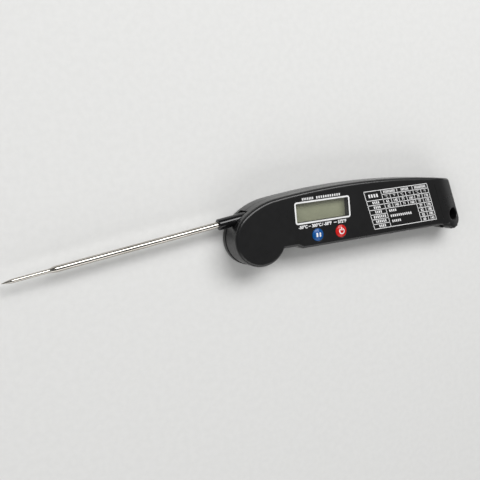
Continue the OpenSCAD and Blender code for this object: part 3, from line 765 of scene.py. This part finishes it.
def make_tube():
    """The steel tube, necked down over the thin tip, and a little thinner inside the collar."""
    start, hidden_r = 1, TUBE_R - 0.2
    prof = [(TUBE_BORE_R, start), (hidden_r, start)]
    prof += [(hidden_r, COLLAR_END - 0.3), (TUBE_R, COLLAR_END - 0.28)]
    n = 40
    prof += [(TUBE_R, COLLAR_END + (TAPER_START - COLLAR_END) * i / n) for i in range(1, n + 1)]
    n, neck = 12, TIP_R + 0.05
    for i in range(1, n + 1):
        f = i / n
        ease = f * f * (3 - 2 * f)
        prof.append((TUBE_R + (neck - TUBE_R) * ease, TAPER_START + (TAPER_END - TAPER_START) * f))
    inner = TIP_R + 0.01
    prof += [(inner, TAPER_END), (inner, TAPER_START + 1), (TUBE_BORE_R, TAPER_START - 1)]
    return tidy(lathe("probe_tube_ground", prof, 64, turn=AXIS), 35)


def make_tip():
    """The thin end tube, spun down to a point."""
    start, point, blunt, n = TAPER_START + 1.4, TIP_END - 5.2, 0.14, 12
    prof = [(TIP_BORE_R, start), (TIP_R, start)]
    prof += [(TIP_R, start + (point - start) * i / n) for i in range(1, n + 1)]
    for i in range(1, 11):
        f = i / 10
        prof.append((blunt + (TIP_R - blunt) * (1 - f**1.35), point + (TIP_END - 0.12 - point) * f))
    prof += [(0.08, TIP_END - 0.03), (0, TIP_END), (0, point), (TIP_BORE_R, point - 1)]
    return tidy(lathe("probe_tip_ground", prof, 48, turn=AXIS), 35)


place(make_collar(), "probe", collar_mat, ["probe_collar"])
place(make_tube(), "probe", probe_mat, ["probe_tube"])
place(make_tip(), "probe", probe_mat, ["probe_tip"])

# ---- buttons, each a rounded cap on its flange, with its white sign

def dome_z(dx, dy):
    """Height of a button's dome, dx and dy from its middle."""
    return CAP_TOP - DOME_R + math.sqrt(DOME_R**2 - dx * dx - dy * dy)


def make_button(name, lo, c):
    """A domed cap with a rounded edge, on its flange and its stem."""
    bottom, stem_r, flange_r, edge = lo[2], 1.8, BUTTON_R + FLANGE, 0.3
    flange_low, flange_top, rim = bottom + 0.4, bottom + 1.2, dome_z(BUTTON_R - edge, 0)
    prof = [(0, bottom), (stem_r, bottom), (stem_r, flange_low), (flange_r, flange_low)]
    prof += [(flange_r, flange_top), (BUTTON_R, flange_top), (BUTTON_R, rim - edge)]
    prof += [(BUTTON_R - d, rim - drop) for d, drop in round_steps(edge, 5)[1:]]
    n = 15
    radii = [(BUTTON_R - edge) * (1 - i / n) for i in range(1, n)]
    prof += [(r, dome_z(r, 0)) for r in radii]
    prof.append((0, CAP_TOP))
    return tidy(lathe(name, prof, 72, centre=c), 35)


def grid_solid(rows):
    """Verts and faces of a thin solid over a grid of (x, y) rows on a button's dome."""
    n, m, sunk = len(rows), len(rows[0]), -0.04
    verts = [(x, y, dome_z(x, y) + up) for up in (sunk, INK) for row in rows for x, y in row]
    faces = []
    for i in range(n - 1):
        for j in range(m - 1):
            a, b, c, d = i * m + j, i * m + j + 1, (i + 1) * m + j + 1, (i + 1) * m + j
            faces.append((a, b, c, d))
            faces.append((a + n * m, d + n * m, c + n * m, b + n * m))
    ring = list(range(m)) + [i * m + m - 1 for i in range(1, n)]
    ring += [(n - 1) * m + j for j in range(m - 2, -1, -1)] + [i * m for i in range(n - 2, 0, -1)]
    for k, a in enumerate(ring):
        b = ring[(k + 1) % len(ring)]
        faces.append((a, a + n * m, b + n * m, b))
    return verts, faces


def bar_rows(x0, y0, x1, y1, n=6):
    """A grid over the rectangle between two corners."""
    xs = [x0 + (x1 - x0) * i / n for i in range(n + 1)]
    ys = [y0 + (y1 - y0) * j / n for j in range(n + 1)]
    return [[(x, y) for y in ys] for x in xs]


def ring_rows(r0, r1, a0, a1, n=40, m=3):
    """A grid over the ring between two radii, from angle a0 to a1."""
    radii = [r0 + (r1 - r0) * j / m for j in range(m + 1)]
    return [[polar(r, a0 + (a1 - a0) * i / n) for r in radii] for i in range(n + 1)]


def make_sign(name, grids, c):
    """A white sign from one or more grids, on the button centred at c."""
    verts, faces = [], []
    for rows in grids:
        v, f = grid_solid(rows)
        faces += [tuple(i + len(verts) for i in face) for face in f]
        verts += [(x + c[0], y + c[1], z) for x, y, z in v]
    return tidy(turn_outward(mesh_from(name, verts, faces)), 35)


pause = [bar_rows(-1.45, -1.15, -0.45, 1.15), bar_rows(0.45, -1.15, 1.45, 1.15)]
power = [ring_rows(1.15, 1.75, 125, 415), bar_rows(-0.32, 0.35, 0.32, 2.1)]
place(make_button("hold_button_cap", hold_lo, HOLD_C), "hold", blue_mat, ["hold_button"])
place(make_button("power_button_cap", power_lo, POWER_C), "power", red_mat, ["power_button"])
place(make_sign("hold_sign", pause, HOLD_C), "hold", ink_mat)
place(make_sign("power_sign", power, POWER_C), "power", ink_mat)

# ---- print on the display face: figures, rules, and plain blocks in place of words

FIGURE_HEIGHT = 0.72
INK_LOW, INK_HIGH = FACE_Z - 0.02, FACE_Z + INK


class Print:
    def __init__(self):
        self.verts, self.faces = [], []

    def add(self, verts, faces):
        k = len(self.verts)
        self.verts += verts
        self.faces += [tuple(i + k for i in f) for f in faces]

    def polygon(self, pts):
        n = len(pts)
        faces = [tuple(range(n - 1, -1, -1)), tuple(range(n, 2 * n))]
        faces += [(i, (i + 1) % n, n + (i + 1) % n, n + i) for i in range(n)]
        self.add(at_z(pts, INK_LOW) + at_z(pts, INK_HIGH), faces)

    def figures(self, text, at, height, place_xy, squeeze=1.0, centre=False, weight=0.0):
        """Figures of the built-in typeface, from the point at, laid on the face by place_xy."""
        data = bpy.data.curves.new("figures", "FONT")
        data.body, data.size, data.extrude, data.resolution_u, data.offset = text, 1.0, 0.5, 3, weight
        if centre:
            data.align_x = "CENTER"
        ob = bpy.data.objects.new("figures", data)
        bpy.context.scene.collection.objects.link(ob)
        dg = bpy.context.evaluated_depsgraph_get()
        me = bpy.data.meshes.new_from_object(ob.evaluated_get(dg))
        k = height / FIGURE_HEIGHT
        verts = []
        for v in me.vertices:
            x, y = place_xy(at[0] + v.co.x * k * squeeze, at[1] + v.co.y * k)
            verts.append((x, y, INK_LOW + (v.co.z + 0.5) * (INK_HIGH - INK_LOW)))
        self.add(verts, [tuple(p.vertices) for p in me.polygons])
        bpy.data.objects.remove(ob)
        bpy.data.curves.remove(data)
        bpy.data.meshes.remove(me)

    def finish(self, name):
        return turn_outward(mesh_from(name, self.verts, self.faces), merge=1e-7)


def straight(x, y):
    return x, y


def blocks(ink, x0, x1, y0, height, count, place_xy=straight, gap=0.42):
    """A word's worth of small upright blocks between x0 and x1."""
    pitch = (x1 - x0) / count
    for i in range(count):
        a, b = x0 + pitch * (i + gap / 2), x0 + pitch * (i + 1 - gap / 2)
        ink.polygon([place_xy(a, y0), place_xy(b, y0), place_xy(b, y0 + height), place_xy(a, y0 + height)])


HEADING_Y, HEADING_H = 17.15, 1.3
RANGE_Y, RANGE_H = 1.95, 1.7
DASH_LOW, DASH_HIGH = 2.55, 2.95


def make_display_print():
    """Two words over the display as blocks, and the range of the scale under it."""
    ink = Print()
    for x0, x1, count in ((25.7, 33.2, 7), (34.6, 50.5, 11)):
        blocks(ink, x0, x1, HEADING_Y, HEADING_H, count, gap=0.44)
    for text, x in (("-50\u00b0C", 22.5), ("300\u00b0C", 30.9), ("-58\u00b0F", 38.4), ("572\u00b0F", 47.6)):
        ink.figures(text, (x, RANGE_Y), RANGE_H, straight, 0.97, weight=0.045)
    for x0, x1 in ((28.7, 30.2), (44.8, 46.9)):
        ink.polygon([(x0, DASH_LOW), (x1, DASH_LOW), (x1, DASH_HIGH), (x0, DASH_HIGH)])
    ink.polygon([(37.15, 1.9), (37.5, 1.9), (38.1, 3.6), (37.75, 3.6)])
    return ink.finish("display_print")


# the cooking guide: a leaning table of eight rows, one wide column and six narrow ones
GUIDE_AT, GUIDE_W, GUIDE_H, GUIDE_ROWS = (65.9, 16.9), 44.3, 21.8, 8
GUIDE_FIRST, GUIDE_LINE = 0.257, 0.36
SUB = (1 - GUIDE_FIRST) / 6
ROW = GUIDE_H / GUIDE_ROWS


def in_guide(x, y):
    """A point x across and y down the guide, on the face."""
    return GUIDE_AT[0] + x + y * math.tan(math.radians(LEAN)), GUIDE_AT[1] - y


def guide_xy(x, y):
    return in_guide(x, -y)


def guide_rule(ink, u0, r0, u1, r1):
    """A rule from (u0, r0) to (u1, r1): u in widths of the guide, r in rows down."""
    x0, y0, x1, y1, h = u0 * GUIDE_W, r0 * ROW, u1 * GUIDE_W, r1 * ROW, GUIDE_LINE / 2
    if r0 == r1:
        pts = [(x0 - h, y0 + h), (x1 + h, y0 + h), (x1 + h, y0 - h), (x0 - h, y0 - h)]
    else:
        pts = [(x0 - h, y1), (x0 + h, y1), (x0 + h, y0), (x0 - h, y0)]
    ink.polygon([in_guide(x, y) for x, y in pts])


def guide_rules(ink):
    last_pair = 1 - 2 * SUB
    for r in (0, 2, 3, 4, GUIDE_ROWS):
        guide_rule(ink, 0, r, 1, r)
    guide_rule(ink, GUIDE_FIRST, 1, 1, 1)
    for r in (5, 6, 7):
        guide_rule(ink, 0, r, GUIDE_FIRST, r)
        guide_rule(ink, last_pair, r, 1, r)
    for u in (0, GUIDE_FIRST, 1, last_pair):
        guide_rule(ink, u, 0, u, GUIDE_ROWS)
    guide_rule(ink, 1 - SUB, 1, 1 - SUB, GUIDE_ROWS)
    for i in (1, 2, 3):
        u = GUIDE_FIRST + i * SUB
        guide_rule(ink, u, 0 if i == 2 else 1, u, 4)


def guide_words(ink, first):
    """Words as blocks: the large heading, three group headings, six row names and three notes."""
    blocks(ink, 2.0, first - 2.4, -1.37 * ROW, 0.7 * ROW, 4, guide_xy)
    for i, count in enumerate((9, 6, 9)):
        mid, half = first + (2 * i + 1) * SUB * GUIDE_W, count * 0.46
        blocks(ink, mid - half, mid + half, -0.78 * ROW, 0.56 * ROW, count, guide_xy)
    for i, count in enumerate((4, 4, 4, 7, 6, 4)):
        mid, half = first / 2 + 0.2, count * 0.62
        blocks(ink, mid - half, mid + half, -(2.76 + i) * ROW, 0.54 * ROW, count, guide_xy)
    left = first + 1.6
    for y, width, count in ((4.85, 5.4, 4), (5.98, 15.2, 11), (7.12, 6.6, 5)):
        blocks(ink, left, left + width, -y * ROW, 0.5 * ROW, count, guide_xy)


def guide_figures(ink, columns, base, row):
    for x, value in zip(columns, row):
        ink.figures(str(value), (x, -base * ROW), 1.55, guide_xy, 0.95, True, 0.03)


def make_guide_print():
    """Typical cooking temperatures in both units, under three group headings."""
    ink = Print()
    guide_rules(ink)
    first = GUIDE_FIRST * GUIDE_W
    guide_words(ink, first)
    columns = [first + (i + 0.5) * SUB * GUIDE_W for i in range(6)]
    for i, x in enumerate(columns):
        ink.figures("\u00b0F" if i % 2 else "\u00b0C", (x, -1.76 * ROW), 1.5, guide_xy, 0.95, True, 0.01)
    for k in (0, 1):
        guide_figures(ink, columns, 2.78 + k, (63, 145, 71, 160, 77, 170))
    for k, row in enumerate(((77, 170), (82, 180), (82, 180), (60, 140))):
        guide_figures(ink, columns[4:], 4.78 + k, row)
    return ink.finish("guide_print")


place(make_display_print(), "body", ink_mat)
place(make_guide_print(), "body", ink_mat, ["face_print"])

# ---- carried-over CAD nodes
CAD_LOOKS = {
    "display_lens": lens_mat, "display_border": ink_mat, "lcd_panel": lcd_mat, "lcd_reflector": foil_mat,
    "lcd_holder": inner_mat, "contact_strips": rubber_mat, "circuit_board": board_mat,
    "controller_blob": bead_mat, "board_components": ceramic_mat, "tact_switches": inner_mat,
    "board_leads": lead_mat, "battery_cell": cell_mat, "contact_positive": brass_mat,
    "contact_negative": brass_mat, "case_screws": screw_mat, "hinge_pin": screw_mat,
    "friction_washer": screw_mat, "thrust_washer": washer_mat,
    "door_oring": rubber_mat, "hold_button": blue_mat, "power_button": red_mat, "unit_button": grey_mat,
    "rotor_front": drum_mat, "rotor_rear": drum_mat, "rotor_screws": screw_mat, "lead_coil": lead_mat,
    "probe_collar": collar_mat, "probe_tube": probe_mat, "probe_tip": probe_mat, "thermistor": bead_mat,
    "sensor_leads": lead_mat, "face_print": ink_mat,
}
for name, material in CAD_LOOKS.items():
    for slot in nodes[name].material_slots:
        slot.material = material

# ---- stage, light and camera
floor_mat = plastic("floor", (0.66, 0.66, 0.65), (0.68, 0.68, 0.67), (0.8, 0.9), 400, 1e-5, 0.1)
FLOOR_HALF, FLOOR_Z = 2500, -0.05
corners = [(x * FLOOR_HALF, y * FLOOR_HALF, FLOOR_Z) for x, y in ((-1, -1), (1, -1), (1, 1), (-1, 1))]
floor = mesh_from("floor", corners, [(0, 1, 2, 3)])
floor.data.materials.append(floor_mat)

world = bpy.data.worlds.new("studio")
world.use_nodes = True
background = world.node_tree.nodes["Background"]
background.inputs["Color"].default_value = (1, 1, 1, 1)
background.inputs["Strength"].default_value = 0.09
bpy.context.scene.world = world


def area_light(name, position, aim, size, power):
    """A soft box of size metres at position, turned to face aim, of power watts."""
    data = bpy.data.lights.new(name, "AREA")
    data.shape, data.size, data.size_y, data.energy = "RECTANGLE", size[0], size[1], power
    ob = bpy.data.objects.new(name, data)
    bpy.context.scene.collection.objects.link(ob)
    ob.location = position
    ob.rotation_mode = "QUATERNION"
    ob.rotation_quaternion = (Vector(aim) - Vector(position)).to_track_quat("-Z", "Y")
    return ob


area_light("key_light", (0.36, 0.66, 1.02), (0.36, 0, 0), (1.2, 0.5), 11.5)
area_light("low_light", (0.15, -1.15, 0.8), (0.15, 0, 0), (2.2, 0.9), 8.5)
area_light("tail_light", (1.7, 0.15, 0.3), (0.1, 0, 0), (0.8, 0.4), 0.5)
# fill lights, which brighten the floor and the print without a reflection of their own
top_fill = area_light("top_fill", (0.05, 1.0, 1.05), (0.05, 0, 0), (2.0, 0.5), 7)
left_fill = area_light("left_fill", (-1.1, 0.15, 0.9), (0, 0, 0), (1.0, 1.0), 7)
top_fill.visible_glossy = left_fill.visible_glossy = False

# the photograph's viewing angle: place in metres and lens in millimetres, with the object
# turned by YAW, tipped by PITCH and rolled by ROLL, in degrees
CAMERA_AT, CAMERA_LENS = (-0.17767, 0.05601, 0.37137), 56.94
YAW, PITCH, ROLL = 24.95, 7.967, 5.434
cam_data = bpy.data.cameras.new("camera")
cam_data.sensor_width, cam_data.lens = 36.0, CAMERA_LENS
cam = bpy.data.objects.new("camera", cam_data)
bpy.context.scene.collection.objects.link(cam)
turn = Matrix.Identity(4)
for degrees, axis in ((YAW, "Y"), (PITCH, "X"), (ROLL, "Z")):
    turn = Matrix.Rotation(math.radians(degrees), 4, axis) @ turn
cam.matrix_world = Matrix.Translation(CAMERA_AT) @ turn.transposed()
bpy.context.scene.camera = cam
bpy.context.scene.view_settings.view_transform = "Standard"
